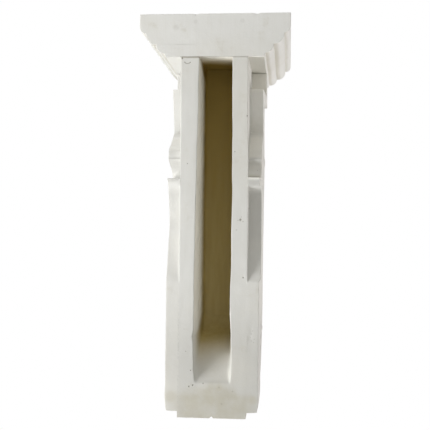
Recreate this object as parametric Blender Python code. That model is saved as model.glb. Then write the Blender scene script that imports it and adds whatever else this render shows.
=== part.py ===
"""Plaster corbel: a moulded cap seated on a scrolled bracket that is cast hollow from behind.

Metres, +Z up. The wall plane is y = 0 and the corbel stands out from it towards -Y.
The origin is the centre of the cap's back face, where the wall carries the corbel.
"""

import math

import bmesh
import bpy
from mathutils import Vector

# Cap: a rectangular slab whose lower edge is moulded on three sides and cut flat at the wall
CAP_WIDTH = 0.210
CAP_DEPTH = 0.285
CAP_HEIGHT = 0.060
CAVETTO_RUN = 0.0067
CAVETTO_DROP = 0.0095
FILLET_RUN = 0.0020
FILLET_DROP = 0.0012
UPPER_OVOLO_RUN = 0.0134
UPPER_OVOLO_DROP = 0.0149
QUIRK_RUN = 0.0010
LOWER_OVOLO_RUN = 0.0112
LOWER_OVOLO_DROP = 0.0123
FOOT_RUN = 0.0027
FOOT_DROP = 0.0050
JOINT_GAP = 0.0003

# Bracket: a core with a thick carved cheek on each side, a neck under the cap and a drop below
BRACKET_HEIGHT = 0.497
SCROLL_DEPTH = 0.219
CORE_WIDTH = 0.0935
CHEEK_THICKNESS = 0.0172
NECK_HEIGHT = 0.0355
NECK_BACK = 0.120
NECK_SETBACK = 0.0010
NECK_FRONT_SETBACK = 0.0065
DROP_HEIGHT = 0.0090
DROP_MARGIN = 0.0004
LEDGE_DRAFT = 0.0015
FOOT_DRAFT = 0.0006
CHEEK_FLARE = 0.0009
CHEEK_FOOT_TUCK = 0.0015
FLARE_HEIGHT = 0.035
EDGE_ROUND = 0.0030

# Hollow in the back, open to the wall and closed above by the cap
HOLLOW_LENGTH = 0.449
HOLLOW_DEPTH = 0.090
HOLLOW_TOP_WIDTH = 0.0467
HOLLOW_MOUTH_WIDTH = 0.0520
HOLLOW_FLOOR_WIDTH = 0.0430
HOLLOW_TAPER_LENGTH = 0.300
RAMP_RISE = 0.085
CORNER_RISE = 0.020
CORNER_TUCK = 0.0026
# Ramp at the foot of the hollow: shares of its rise, then of the hollow's depth
RAMP_LINE = (
    (0.00, 0.00),
    (0.26, 0.18),
    (0.47, 0.36),
    (0.62, 0.58),
    (0.80, 0.87),
    (1.00, 1.00),
)

# Front line of the bracket: shares of the bracket's height, then of the scroll's depth
FRONT_LINE = (
    (0.000, 0.895),
    (0.097, 0.890),
    (0.185, 0.950),
    (0.296, 1.000),
    (0.400, 0.941),
    (0.510, 0.868),
    (0.640, 0.795),
    (0.760, 0.735),
    (0.835, 0.655),
    (0.895, 0.470),
    (0.940, 0.292),
    (1.000, 0.119),
)

# Back line of a cheek, whose leaf lobes stop short of the wall: each stretch runs from one
# (height share, depth share) to the next and bows by a share of the depth at its middle
LOBE_STRETCHES = (
    ((0.0745, 0.215), (0.197, 0.301), -0.008),
    ((0.197, 0.301), (0.258, 0.064), 0.012),
    ((0.258, 0.064), (0.287, 0.042), -0.006),
    ((0.287, 0.042), (0.3345, 0.274), 0.040),
    ((0.3405, 0.022), (0.430, 0.103), -0.010),
    ((0.430, 0.103), (0.490, 0.111), 0.014),
    ((0.490, 0.111), (0.567, 0.034), -0.002),
    ((0.567, 0.034), (0.624, 0.000), -0.005),
)

# Leaf on the front: it rises from the foot of the bracket towards the neck
LEAF_WIDTH = 0.080
LEAF_RISE = 0.0120
LEAF_EDGE_RISE = 0.0055
LEAF_TOP = 0.135
LEAF_ROUNDING = 0.090
LEAF_LOBES = 6
LOBE_CUT = 0.30
LOBE_FULLNESS = 1.15
LEAF_FULL_SHARE = 0.30
NOTCH_HEIGHT = 0.0030
MIDRIB_WIDTH = 0.0050
MIDRIB_DEPTH = 0.0030
CHANNEL_DEPTH = 0.0040
CHANNEL_SLOPE = 0.0022
RIM_WIDTH = 0.0146
FOOT_NOTCH_WIDTH = 0.0100
FOOT_NOTCH_RISE = 0.0028

# Across the leaf from the midrib out: shares of its half width, and of its fall to the edge
LEAF_SECTION = ((0.45, 0.22), (0.80, 0.65))

# Scroll line and leaf flutes sunk in the face of each cheek
GROOVE_DEPTH = 0.0030
GROOVE_WIDTH = 0.0070
BAND_WIDTH = 0.0200
UPPER_VOLUTE_SHARE = 0.272
UPPER_VOLUTE_RADIUS = 0.062
LOWER_VOLUTE_SHARE = 0.770
LOWER_VOLUTE_RADIUS = 0.036
VOLUTE_TURNS = 2.1
VOLUTE_SHRINK = 0.11
# Flutes: the lobe end and the root of each, as shares of the height and of the scroll's depth
FLUTES = (
    ((0.095, 0.290), (0.150, 0.400)),
    ((0.285, 0.115), (0.335, 0.330)),
    ((0.375, 0.110), (0.470, 0.360)),
    ((0.500, 0.190), (0.590, 0.430)),
    ((0.640, 0.120), (0.700, 0.330)),
)
FLUTE_WIDTH = 0.0095
FLUTE_SKEW = 0.62
FINEST_GROOVE = 0.42
FINEST_FLUTE = 0.06

# Faceting
ROW_PITCH = 0.0095
FINEST_EDGE = 0.0005
ARC_STEPS = 6
GROOVE_STEP = math.radians(24)

JOINT_Z = -CAP_HEIGHT / 2
CORE_HALF = CORE_WIDTH / 2
CHEEK_HALF = CORE_HALF + CHEEK_THICKNESS


def cap_profile():
    """(inset, height above the joint) down the moulding, with each ovolo a quarter ellipse."""
    points = [(0.0, CAP_HEIGHT)]
    inset = 0.0
    height = (
        CAVETTO_DROP + FILLET_DROP + UPPER_OVOLO_DROP + LOWER_OVOLO_DROP + FOOT_DROP
    )
    points.append((inset, height))
    for i in range(1, ARC_STEPS):
        a = math.pi / 2 * i / ARC_STEPS
        points.append(
            (inset + CAVETTO_RUN * (1 - math.cos(a)), height - CAVETTO_DROP * math.sin(a))
        )
    inset += CAVETTO_RUN
    height -= CAVETTO_DROP
    points.append((inset, height))
    inset += FILLET_RUN
    height -= FILLET_DROP
    points.append((inset, height))
    ovolos = (
        (UPPER_OVOLO_RUN, UPPER_OVOLO_DROP, QUIRK_RUN),
        (LOWER_OVOLO_RUN, LOWER_OVOLO_DROP, 0.0),
    )
    for run, drop, quirk in ovolos:
        for i in range(1, ARC_STEPS + 1):
            a = math.pi / 2 * i / ARC_STEPS
            points.append(
                (inset + run * (1 - math.cos(a)), height - drop * math.sin(a))
            )
        inset += run + quirk
        height -= drop
        if quirk:
            points.append((inset, height))
    points.append((inset + FOOT_RUN, 0.0))
    return points


CAP_FOOT_INSET = cap_profile()[-1][0]
NECK_HALF = CAP_WIDTH / 2 - CAP_FOOT_INSET - NECK_SETBACK
NECK_FRONT = CAP_DEPTH - CAP_FOOT_INSET - NECK_FRONT_SETBACK


def curve_through(points, share):
    """Value at share on a smooth cubic through the points, which are sorted by share."""
    last = len(points) - 1
    i = max(0, min(last - 1, sum(1 for p in points if p[0] <= share) - 1))
    (x0, y0), (x1, y1) = points[i], points[i + 1]
    before, after = points[max(0, i - 1)], points[min(last, i + 2)]
    slope_in = (y1 - before[1]) / (x1 - before[0])
    slope_out = (after[1] - y0) / (after[0] - x0)
    span = x1 - x0
    t = min(1.0, max(0.0, (share - x0) / span))
    return (
        (2 * t**3 - 3 * t**2 + 1) * y0
        + (t**3 - 2 * t**2 + t) * span * slope_in
        + (3 * t**2 - 2 * t**3) * y1
        + (t**3 - t**2) * span * slope_out
    )


def ease(t):
    """0 to 1 with a level start and end."""
    t = min(1.0, max(0.0, t))
    return t * t * (3 - 2 * t)


def mix(a, b, t):
    return a + (b - a) * t


def front_at(drop):
    return SCROLL_DEPTH * curve_through(FRONT_LINE, drop / BRACKET_HEIGHT)


def lobe_back_at(drop):
    """Distance from the wall to the back edge of a cheek, at a depth below the joint."""
    share = drop / BRACKET_HEIGHT
    previous = LOBE_STRETCHES[0][0]
    for (top, top_back), (low, low_back), bow in LOBE_STRETCHES:
        if share < top:
            t = ease((share - previous[0]) / max(1e-9, top - previous[0]))
            return SCROLL_DEPTH * mix(previous[1], top_back, t)
        if share <= low:
            t = (share - top) / (low - top)
            return SCROLL_DEPTH * (
                mix(top_back, low_back, t) + bow * math.sin(math.pi * t)
            )
        previous = (low, low_back)
    return 0.0


def foot_drop():
    """Depth below the joint at which the cheeks end and only the core goes on."""
    return BRACKET_HEIGHT - DROP_HEIGHT


def side_at(drop):
    """(half width, back, front) of the bracket's outline, not counting the front leaf."""
    below_neck = drop - NECK_HEIGHT
    cheek = (cheek_half_at(drop), lobe_back_at(drop), front_at(drop))
    if below_neck < LEDGE_DRAFT:
        t = max(0.0, below_neck / LEDGE_DRAFT)
        neck = (NECK_HALF, NECK_BACK, NECK_FRONT)
        return tuple(mix(a, b, t) for a, b in zip(neck, cheek))
    if drop > foot_drop():
        t = min(1.0, (drop - foot_drop()) / FOOT_DRAFT)
        return mix(cheek[0], CORE_HALF + DROP_MARGIN, t), 0.0, cheek[2]
    return cheek


def cheek_half_at(drop):
    """Half width over the cheeks: straight, then a slight flare and a tuck at the foot."""
    up = (foot_drop() - drop) / FLARE_HEIGHT
    if up >= 1.0:
        return CHEEK_HALF
    up = max(0.0, up)
    return CHEEK_HALF + CHEEK_FLARE * math.sin(math.pi * up) - CHEEK_FOOT_TUCK * (
        1 - up
    ) ** 2


def hollow_at(drop):
    """(half width at the mouth, half width at the floor, depth) of the hollow in the back."""
    floor_half = HOLLOW_FLOOR_WIDTH / 2
    widening = ease(drop / HOLLOW_TAPER_LENGTH)
    mouth_half = mix(HOLLOW_TOP_WIDTH, HOLLOW_MOUTH_WIDTH, widening) / 2
    above_foot = HOLLOW_LENGTH - drop
    if above_foot < CORNER_RISE:
        t = 1 - max(0.0, above_foot) / CORNER_RISE
        mouth_half -= CORNER_TUCK * t * t
    climbed = min(1.0, max(0.0, above_foot / RAMP_RISE))
    depth = HOLLOW_DEPTH * curve_through(RAMP_LINE, climbed)
    return mouth_half, min(floor_half, mouth_half - FINEST_EDGE), depth


def lobe_pitch():
    """Height of one lobe of the front leaf."""
    return BRACKET_HEIGHT * (1 - LEAF_TOP) / LEAF_LOBES


def leaf_half_at(drop):
    """Half width of the front leaf: lobes that widen upwards and are then cut back."""
    top = BRACKET_HEIGHT * LEAF_TOP
    if drop <= top:
        return 0.0
    rounding = min(1.0, (drop - top) / (BRACKET_HEIGHT * LEAF_ROUNDING))
    envelope = LEAF_WIDTH / 2 * math.sqrt(1 - (1 - rounding) ** 2)
    up = (BRACKET_HEIGHT - drop) / lobe_pitch()
    within = (up - math.floor(up)) if up < LEAF_LOBES else 1.0
    fullness = math.sin(math.pi / 2 * min(1.0, within * LOBE_FULLNESS))
    return envelope * (1 - LOBE_CUT * (1 - fullness))


def front_points(drop, half, front):
    """Front of the bracket from its centre line to the cheek's rim, as (x, distance out)."""
    in_neck = ease((drop - NECK_HEIGHT) / LEDGE_DRAFT)
    ground = front - CHANNEL_DEPTH * in_neck
    leaf = max(leaf_half_at(drop), MIDRIB_WIDTH)
    amount = ease(leaf_half_at(drop) / (LEAF_WIDTH * LEAF_FULL_SHARE))
    crown = ground + LEAF_RISE * amount
    edge = ground + LEAF_EDGE_RISE * amount
    rib = MIDRIB_WIDTH / 2
    points = [(0.0, crown - MIDRIB_DEPTH * amount), (rib, crown)]
    points += [(mix(rib, leaf, a), mix(crown, edge, b)) for a, b in LEAF_SECTION]
    points += [
        (leaf, edge),
        (leaf + CHANNEL_SLOPE, ground),
        (CHEEK_HALF - RIM_WIDTH - CHANNEL_SLOPE, ground),
        (CHEEK_HALF - RIM_WIDTH, front),
    ]
    rounding = min(EDGE_ROUND, (half - CORE_HALF) / 2)
    for angle in (90, 45, 0):
        a = math.radians(angle)
        points.append(
            (
                half - rounding * (1 - math.cos(a)),
                front - rounding * (1 - math.sin(a)),
            )
        )
    return points


def pendant_front_points(drop, half, front):
    """The same count of points for the drop, where no rim stands beside the leaf."""
    points = front_points(drop, CHEEK_HALF, front)
    t = min(1.0, (drop - foot_drop()) / FOOT_DRAFT)
    squeezed = mix(1.0, half / CHEEK_HALF, t)
    return [(x * squeezed, out) for x, out in points]


def plan_ring(drop):
    """Closed outline of the bracket at one depth below the joint, as (x, y) pairs."""
    half, back, front = side_at(drop)
    mouth, floor, depth = hollow_at(drop)
    points_of = pendant_front_points if drop > foot_drop() else front_points
    side = points_of(drop, half, front)
    side += [
        (half, back),
        (CORE_HALF, back),
        (CORE_HALF, 0.0),
        (mouth, 0.0),
        (floor, depth),
        (0.0, depth),
    ]
    mirrored = [(-x, out) for x, out in reversed(side[1:-1])]
    return [(x, -out) for x, out in side + mirrored]


def row_drops():
    """Depths below the joint of the plan rings, close together where the outline turns."""
    rows = int(BRACKET_HEIGHT / ROW_PITCH)
    drops = [BRACKET_HEIGHT * i / rows for i in range(rows + 1)]
    drops += [NECK_HEIGHT, NECK_HEIGHT + LEDGE_DRAFT]
    drops += [foot_drop(), foot_drop() + FOOT_DRAFT]
    drops += [foot_drop() - FLARE_HEIGHT * i / 3 for i in (1, 2)]
    drops += [HOLLOW_LENGTH - RAMP_RISE * i / 10 for i in range(11)]
    drops += [HOLLOW_LENGTH - CORNER_RISE / 2]
    for (top, _), (low, _), _ in LOBE_STRETCHES:
        drops += [BRACKET_HEIGHT * top, BRACKET_HEIGHT * low]
    top = BRACKET_HEIGHT * LEAF_TOP
    rounding = BRACKET_HEIGHT * LEAF_ROUNDING
    drops += [top + rounding * (1 - math.cos(math.pi / 2 * i / 5)) for i in range(6)]
    for i in range(1, LEAF_LOBES):
        notch = BRACKET_HEIGHT - lobe_pitch() * i
        drops += [notch - NOTCH_HEIGHT / 2, notch + NOTCH_HEIGHT / 2]
    fixed = {NECK_HEIGHT, NECK_HEIGHT + LEDGE_DRAFT, foot_drop()}
    fixed |= {foot_drop() + FOOT_DRAFT, 0.0, BRACKET_HEIGHT}
    kept = []
    for drop in sorted(d for d in drops if 0 <= d <= BRACKET_HEIGHT):
        if kept and drop - kept[-1] < NOTCH_HEIGHT / 3:
            if drop in fixed and kept[-1] not in fixed:
                kept[-1] = drop
            elif drop in fixed and drop - kept[-1] > 1e-6:
                kept.append(drop)
            continue
        kept.append(drop)
    return kept


def new_object(name, mesh, material):
    item = bpy.data.objects.new(name, mesh)
    bpy.context.scene.collection.objects.link(item)
    if material is not None:
        mesh.materials.append(material)
    return item


def loft(name, rings, material):
    """Closed solid over a stack of rings with the same number of points, capped at both ends."""
    bm = bmesh.new()
    rows = [[bm.verts.new(Vector(p)) for p in ring] for ring in rings]
    count = len(rows[0])
    for upper, lower in zip(rows, rows[1:]):
        for i in range(count):
            j = (i + 1) % count
            bm.faces.new((upper[i], upper[j], lower[j], lower[i]))
    bm.faces.new(rows[0])
    bm.faces.new(rows[-1][::-1])
    bmesh.ops.remove_doubles(bm, verts=bm.verts, dist=1e-6)
    bmesh.ops.recalc_face_normals(bm, faces=bm.faces)
    flat = math.radians(0.05)
    bmesh.ops.dissolve_limit(bm, angle_limit=flat, verts=bm.verts, edges=bm.edges)
    mesh = bpy.data.meshes.new(name)
    bm.to_mesh(mesh)
    bm.free()
    return new_object(name, mesh, material)


def cutter_between(name, near_points, far_points):
    """Hidden solid between two outlines that have the same number of points."""
    bm = bmesh.new()
    near = [bm.verts.new(p) for p in near_points]
    far = [bm.verts.new(p) for p in far_points]
    bm.faces.new(near)
    bm.faces.new(far[::-1])
    for i in range(len(near)):
        j = (i + 1) % len(near)
        bm.faces.new((near[j], near[i], far[i], far[j]))
    bmesh.ops.recalc_face_normals(bm, faces=bm.faces)
    mesh = bpy.data.meshes.new(name)
    bm.to_mesh(mesh)
    bm.free()
    cutter = new_object(name, mesh, None)
    cutter.hide_render = True
    cutter.display_type = "WIRE"
    return cutter


def prism(name, outline, low_x, high_x):
    """Cutter between two x values over an outline of (distance out, height) pairs."""
    near = [(low_x, -out, z) for out, z in outline]
    far = [(high_x, -out, z) for out, z in outline]
    return cutter_between(name, near, far)


def spiral(height_share, radius, direction):
    """Points of a spiral that starts at the band and winds in; direction 1 goes up first."""
    drop = BRACKET_HEIGHT * height_share
    out = front_at(drop) - BAND_WIDTH - radius
    steps = int(VOLUTE_TURNS * 2 * math.pi / GROOVE_STEP)
    points = []
    for i in range(1, steps + 1):
        a = GROOVE_STEP * i
        r = radius * math.exp(-VOLUTE_SHRINK * a)
        points.append((out + r * math.cos(a), drop - direction * r * math.sin(a)))
    return points


def scroll_line():
    """Centre line of the sunk scroll, from the upper volute's eye to the lower volute's."""
    upper = spiral(UPPER_VOLUTE_SHARE, UPPER_VOLUTE_RADIUS, 1)
    lower = spiral(LOWER_VOLUTE_SHARE, LOWER_VOLUTE_RADIUS, -1)
    top = BRACKET_HEIGHT * UPPER_VOLUTE_SHARE
    low = BRACKET_HEIGHT * LOWER_VOLUTE_SHARE
    steps = 9
    middle = []
    for i in range(steps + 1):
        drop = mix(top, low, i / steps)
        middle.append((front_at(drop) - BAND_WIDTH, drop))
    return upper[::-1] + middle + lower


def ribbon(line, width_at):
    """Outline of a ribbon about a line, whose width is given at each share of its length."""
    left, right = [], []
    last = len(line) - 1
    for i, (out, drop) in enumerate(line):
        a, b = line[max(0, i - 1)], line[min(last, i + 1)]
        run, fall = b[0] - a[0], b[1] - a[1]
        length = math.hypot(run, fall)
        half = width_at(i / last) / 2
        left.append((out - fall / length * half, drop + run / length * half))
        right.append((out + fall / length * half, drop - run / length * half))
    return [(out, JOINT_Z - drop) for out, drop in left + right[::-1]]


def groove_width(share):
    """The scroll's groove narrows to both eyes."""
    fullness = math.sqrt(math.sin(math.pi * share))
    return GROOVE_WIDTH * mix(FINEST_GROOVE, 1.0, fullness)


def flute_width(share):
    """A flute is rounded at the lobe's end and runs out to a point at its root."""
    return FLUTE_WIDTH * max(FINEST_FLUTE, math.sin(math.pi * share**FLUTE_SKEW))


def flute_line(tip, root):
    """Centre line of one flute, gently bowed upwards."""
    steps = 7
    line = []
    for i in range(steps + 1):
        t = i / steps
        drop = BRACKET_HEIGHT * mix(tip[0], root[0], t * t)
        line.append((SCROLL_DEPTH * mix(tip[1], root[1], t), drop))
    return line


def cut(target, cutter):
    modifier = target.modifiers.new("Cut " + cutter.name, "BOOLEAN")
    modifier.operation = "DIFFERENCE"
    modifier.solver = "EXACT"
    modifier.object = cutter


def plaster(name, colour):
    material = bpy.data.materials.new(name)
    material.use_nodes = True
    shader = material.node_tree.nodes["Principled BSDF"]
    shader.inputs["Base Color"].default_value = (*colour, 1)
    shader.inputs["Roughness"].default_value = 0.62
    shader.inputs["Metallic"].default_value = 0
    return material


def build_cap(material):
    """Stack of rectangles, each set in by the moulding's profile on three sides."""
    rings = []
    for inset, height in cap_profile():
        half = CAP_WIDTH / 2 - inset
        depth = CAP_DEPTH - inset
        z = JOINT_Z + height
        rings.append([(half, 0, z), (-half, 0, z), (-half, -depth, z), (half, -depth, z)])
    return loft("cap", rings, material)


def build_bracket(material):
    """Stack of plan rings, with the scrolls and flutes sunk in both cheeks afterwards."""
    rings = []
    for drop in row_drops():
        z = JOINT_Z - max(drop, JOINT_GAP)
        rings.append([(x, y, z) for x, y in plan_ring(drop)])
    bracket = loft("bracket", rings, material)
    inner = CHEEK_HALF - GROOVE_DEPTH
    outer = CHEEK_HALF + GROOVE_DEPTH
    outlines = [("scroll", ribbon(scroll_line(), groove_width))]
    for i, (tip, root) in enumerate(FLUTES):
        outlines.append((f"flute_{i + 1}", ribbon(flute_line(tip, root), flute_width)))
    for label, outline in outlines:
        cut(bracket, prism(f"{label}_right", outline, inner, outer))
        cut(bracket, prism(f"{label}_left", outline, -outer, -inner))
    cut(bracket, notch_cutter())
    return bracket


def notch_cutter():
    """Three-sided bar that leaves a small notch along the middle of the drop's underside."""
    foot = JOINT_Z - BRACKET_HEIGHT
    half = FOOT_NOTCH_WIDTH / 2
    outline = (
        (-half, foot - FOOT_NOTCH_RISE),
        (half, foot - FOOT_NOTCH_RISE),
        (0.0, foot + FOOT_NOTCH_RISE),
    )
    near = [(x, FOOT_NOTCH_WIDTH, z) for x, z in outline]
    far = [(x, -SCROLL_DEPTH, z) for x, z in outline]
    return cutter_between("foot_notch", near, far)


def main():
    for item in list(bpy.data.objects):
        bpy.data.objects.remove(item)
    paint = plaster("Off-white paint", (0.72, 0.71, 0.67))
    build_cap(paint)
    build_bracket(paint)


main()
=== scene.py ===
# %% [markdown]
# A corbel is a bracket that is built into a wall to carry a shelf or a beam. This one is cast in
# plaster, painted off-white, and it is seen from behind: two rails stand either side of a long
# hollow, and the carved cheeks stop short of the wall in soft lobes. The solids already have the
# right form, so this lesson gives them what a caster's hands and years of handling leave behind:
# rounded edges, uneven rails, pits, thin paint in the hollow and dirt at the foot.

# %% Load the frame
import math

import bmesh
import bpy
import numpy as np
from mathutils import Matrix, Vector


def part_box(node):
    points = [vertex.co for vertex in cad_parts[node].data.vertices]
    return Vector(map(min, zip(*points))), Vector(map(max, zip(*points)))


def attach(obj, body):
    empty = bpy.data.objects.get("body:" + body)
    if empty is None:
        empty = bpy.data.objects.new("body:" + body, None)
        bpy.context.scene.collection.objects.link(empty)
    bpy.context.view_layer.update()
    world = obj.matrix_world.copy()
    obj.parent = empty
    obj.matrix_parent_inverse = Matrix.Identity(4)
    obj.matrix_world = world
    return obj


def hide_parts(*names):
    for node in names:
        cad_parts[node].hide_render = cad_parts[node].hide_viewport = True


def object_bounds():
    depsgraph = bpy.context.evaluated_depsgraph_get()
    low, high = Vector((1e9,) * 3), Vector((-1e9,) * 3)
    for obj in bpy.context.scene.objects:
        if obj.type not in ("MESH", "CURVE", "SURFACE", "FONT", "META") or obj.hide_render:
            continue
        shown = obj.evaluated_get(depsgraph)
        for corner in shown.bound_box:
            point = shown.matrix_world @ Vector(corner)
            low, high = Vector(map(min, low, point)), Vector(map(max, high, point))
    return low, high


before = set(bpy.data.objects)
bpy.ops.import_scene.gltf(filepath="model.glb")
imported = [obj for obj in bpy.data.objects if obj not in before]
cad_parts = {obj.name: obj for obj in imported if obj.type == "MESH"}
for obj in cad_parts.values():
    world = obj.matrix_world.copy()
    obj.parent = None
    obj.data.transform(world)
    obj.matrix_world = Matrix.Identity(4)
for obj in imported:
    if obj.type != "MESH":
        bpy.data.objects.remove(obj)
cad_low, cad_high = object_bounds()
print("solids span", [round(b - a, 4) for a, b in zip(cad_low, cad_high)], "metres")

# %% [markdown]
# The camera comes first, because marks on the real corbel are placed by their pixel in the
# photograph. Its place and turn were solved from the cap's corners and the rails' edges. A pinhole
# camera needs only that and the focal length in pixels, so the same numbers also send a pixel
# back along its ray to the plane of the corbel's back.

# %% The photograph's camera
PHOTO_SIZE = 430
FOCAL_PIXELS = 850.0
SENSOR_WIDTH = 36.0
EYE = np.array([-0.1047, 1.1635, -0.2827])
YAW, PITCH, ROLL = (math.radians(a) for a in (-5.001, 1.644, 0.557))


def camera_axes():
    """Right, up and forward unit vectors: yaw about the vertical, then pitch, then roll."""
    forward = np.array(
        [-math.sin(YAW) * math.cos(PITCH), -math.cos(YAW) * math.cos(PITCH), math.sin(PITCH)]
    )
    level = np.array([-math.cos(YAW), math.sin(YAW), 0.0])
    above = np.cross(level, forward)
    right = math.cos(ROLL) * level + math.sin(ROLL) * above
    up = -math.sin(ROLL) * level + math.cos(ROLL) * above
    return right, up, forward


RIGHT, UP, FORWARD = camera_axes()


def put_in_scene(name, data):
    """New object with this camera, mesh or light, linked into the scene."""
    thing = bpy.data.objects.new(name, data)
    bpy.context.scene.collection.objects.link(thing)
    return thing


def add_camera():
    """Camera whose matrix has right, up and backward as its columns and the eye as its place."""
    data = bpy.data.cameras.new("Photograph")
    data.sensor_fit = "HORIZONTAL"
    data.sensor_width = SENSOR_WIDTH
    data.lens = FOCAL_PIXELS / PHOTO_SIZE * SENSOR_WIDTH
    camera = put_in_scene("Photograph", data)
    turn = Matrix(np.column_stack([RIGHT, UP, -FORWARD]).tolist()).to_4x4()
    camera.matrix_world = Matrix.Translation(EYE.tolist()) @ turn
    bpy.context.scene.camera = camera


def on_back(pixel_x, pixel_y):
    """Point of the back plane y = 0 that shows at a pixel, by stretching its ray to that plane."""
    middle = PHOTO_SIZE / 2
    ray = FORWARD + (pixel_x - middle) / FOCAL_PIXELS * RIGHT
    ray = ray - (pixel_y - middle) / FOCAL_PIXELS * UP
    return EYE - EYE[1] / ray[1] * ray


add_camera()
print("pixel (215, 300) lies at", on_back(215, 300).round(4))

# %% [markdown]
# Nothing on a hand-made casting is quite straight or sharp. A few curves are enough to say that:
# one that eases between two levels, a bell for what is pressed or worn in one place, a cubic
# through measured points for the long lines, and sines of unlike length for a wandering edge.

# %% Curves
def ease(t):
    """0 to 1 with a level start and end: 3t^2 - 2t^3."""
    t = np.clip(t, 0, 1)
    return t * t * (3 - 2 * t)


def mix(a, b, t):
    """a where t is 0, b where t is 1, in proportion between."""
    return a + (b - a) * t


def bump_at(distance, radius):
    """Bell curve of height 1: exp(-(distance / radius)^2)."""
    return np.exp(-((distance / radius) ** 2))


def smooth_line(points, share):
    """Cubic through (share, value) points; the slope at each is taken from its neighbours."""
    xs, ys = np.array(points).T
    last = len(xs) - 1
    i = np.clip(np.searchsorted(xs, share, side="right") - 1, 0, last - 1)
    before, after = np.maximum(i - 1, 0), np.minimum(i + 2, last)
    span = xs[i + 1] - xs[i]
    slope_in = (ys[i + 1] - ys[before]) / (xs[i + 1] - xs[before])
    slope_out = (ys[after] - ys[i]) / (xs[after] - xs[i])
    t = np.clip((share - xs[i]) / span, 0, 1)
    start = (2 * t**3 - 3 * t**2 + 1) * ys[i] + (t**3 - 2 * t**2 + t) * span * slope_in
    return start + (3 * t**2 - 2 * t**3) * ys[i + 1] + (t**3 - t**2) * span * slope_out


def step_at(drop, start, length):
    """0 down to the start, 1 from a length further down, eased between."""
    return ease((drop - start) / length)


def wander(along, seed, amount, length):
    """Hand-made unevenness along an edge: three sines of unlike length with seeded phases."""
    phases = np.random.default_rng(seed).uniform(0, 2 * np.pi, 3)
    waves = [np.sin(2 * np.pi * k * along / length + p) / k for k, p in zip((1, 2.3, 4.9), phases)]
    return amount * sum(waves) / 1.6


print("halfway, ease gives", ease(0.5), "and a cubic", smooth_line(((0, 0), (1, 2)), 0.5))

# %% [markdown]
# Both castings are built the same way: a stack of level outlines, each with the same number of
# points, so that the skin is a grid with rows down the piece and columns around it. A corner of the
# real thing is never sharp, so every corner of an outline is a short curve. All rows are worked out
# at once as arrays, and a loop only walks over the few corners.

# %% Outlines
ARC_STEPS = 3


def step_shares(count):
    """Shares 0, 1/n, 2/n ... short of 1, shaped to spread over (row, step, axis)."""
    return (np.arange(count) / count)[None, :, None]


def rounded_chain(corners, radii, counts):
    """Outline points for all rows at once, along straight runs joined by small curves.

    corners is a list of (x, out) arrays over the rows, radii one array or number for each inner
    corner, counts the steps along each run. A corner's curve is (1-t)^2 A + 2t(1-t) C + t^2 B,
    where A and B lie one radius before and after the corner C, or at most 0.45 of the run.
    """
    rows = len(corners[0][0])
    points = np.array([np.stack(np.broadcast_arrays(x, out), axis=-1) for x, out in corners])
    steps = points[1:] - points[:-1]
    lengths = np.linalg.norm(steps, axis=2)
    units = steps / np.maximum(lengths, 1e-9)[..., None]
    points, units = points[:, :, None], units[:, :, None]
    outline = []
    start = points[0]
    t = step_shares(ARC_STEPS)
    for i, count in enumerate(counts[:-1]):
        corner = points[i + 1]
        room = 0.45 * np.minimum(lengths[i], lengths[i + 1])
        radius = np.minimum(np.broadcast_to(radii[i], rows), room)[:, None, None]
        arrive, leave = corner - radius * units[i], corner + radius * units[i + 1]
        outline.append(mix(start, arrive, step_shares(count)))
        outline.append((1 - t) ** 2 * arrive + 2 * t * (1 - t) * corner + t**2 * leave)
        start = leave
    outline += [mix(start, points[-1], step_shares(counts[-1])), points[-1]]
    return np.concatenate(outline, axis=1)


def opposite(part, columns):
    """The same columns of a ring on its other half, for one part of the first half."""
    return slice(columns - part.stop + 1, columns - part.start + 1)


def closed_ring(side_a, side_b):
    """One ring from the half with x > 0 and the half with x < 0, which share both end points."""
    mirrored = side_b[:, ::-1] * np.array([-1.0, 1.0])
    return np.concatenate([side_a, mirrored[:, 1:-1]], axis=1)


def as_grid(ring, heights):
    """(x, out) rings at their heights as x, y, z: out is measured from the wall towards -Y."""
    grid = np.empty((*ring.shape[:2], 3))
    grid[..., 0] = ring[..., 0]
    grid[..., 1] = -ring[..., 1]
    grid[..., 2] = heights[:, None]
    return grid


print("each corner of an outline has", ARC_STEPS, "steps")

# %% [markdown]
# A grid becomes a mesh by naming its points: four neighbours make a face, the last column joins the
# first, and one flat face closes each end. Moving points along their normals afterwards gives the
# soft unevenness of a cast face, which a bump in the paint could not put into the outline.

# %% Skins
def grid_normals(grid):
    """Unit normals of a grid that closes on itself around: cross product of its two slopes."""
    around = np.roll(grid, -1, axis=1) - np.roll(grid, 1, axis=1)
    down = np.gradient(grid, axis=0)
    normal = np.cross(down, around)
    return normal / np.maximum(np.linalg.norm(normal, axis=2), 1e-12)[..., None]


def skin(name, grid, crease_shade, painted_shading=None):
    """Mesh over a closed grid: quads between rows, one flat face over each end.

    Painted shade for the creases and painted light and shade for chosen places are kept for each
    point, so that the paint can follow the carving.
    """
    rows, columns = grid.shape[:2]
    index = np.arange(rows * columns).reshape(rows, columns)
    turned = np.roll(index, -1, axis=1)
    quads = np.stack([index[:-1], index[1:], turned[1:], turned[:-1]], axis=-1).reshape(-1, 4)
    ends = [index[0].tolist(), index[-1][::-1].tolist()]
    mesh = bpy.data.meshes.new(name)
    mesh.from_pydata(grid.reshape(-1, 3).tolist(), [], quads.tolist() + ends)
    painted_shading = np.zeros(crease_shade.shape) if painted_shading is None else painted_shading
    for label, values in (("crease_shade", crease_shade), ("painted_shading", painted_shading)):
        stain = mesh.attributes.new(label, "FLOAT", "POINT")
        stain.data.foreach_set("value", values.reshape(-1).astype(np.float32))
    piece = put_in_scene(name, mesh)
    clean(mesh)
    triangles = sum(len(p.vertices) - 2 for p in mesh.polygons)
    print(name, "has", triangles, "triangles")
    return piece


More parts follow.
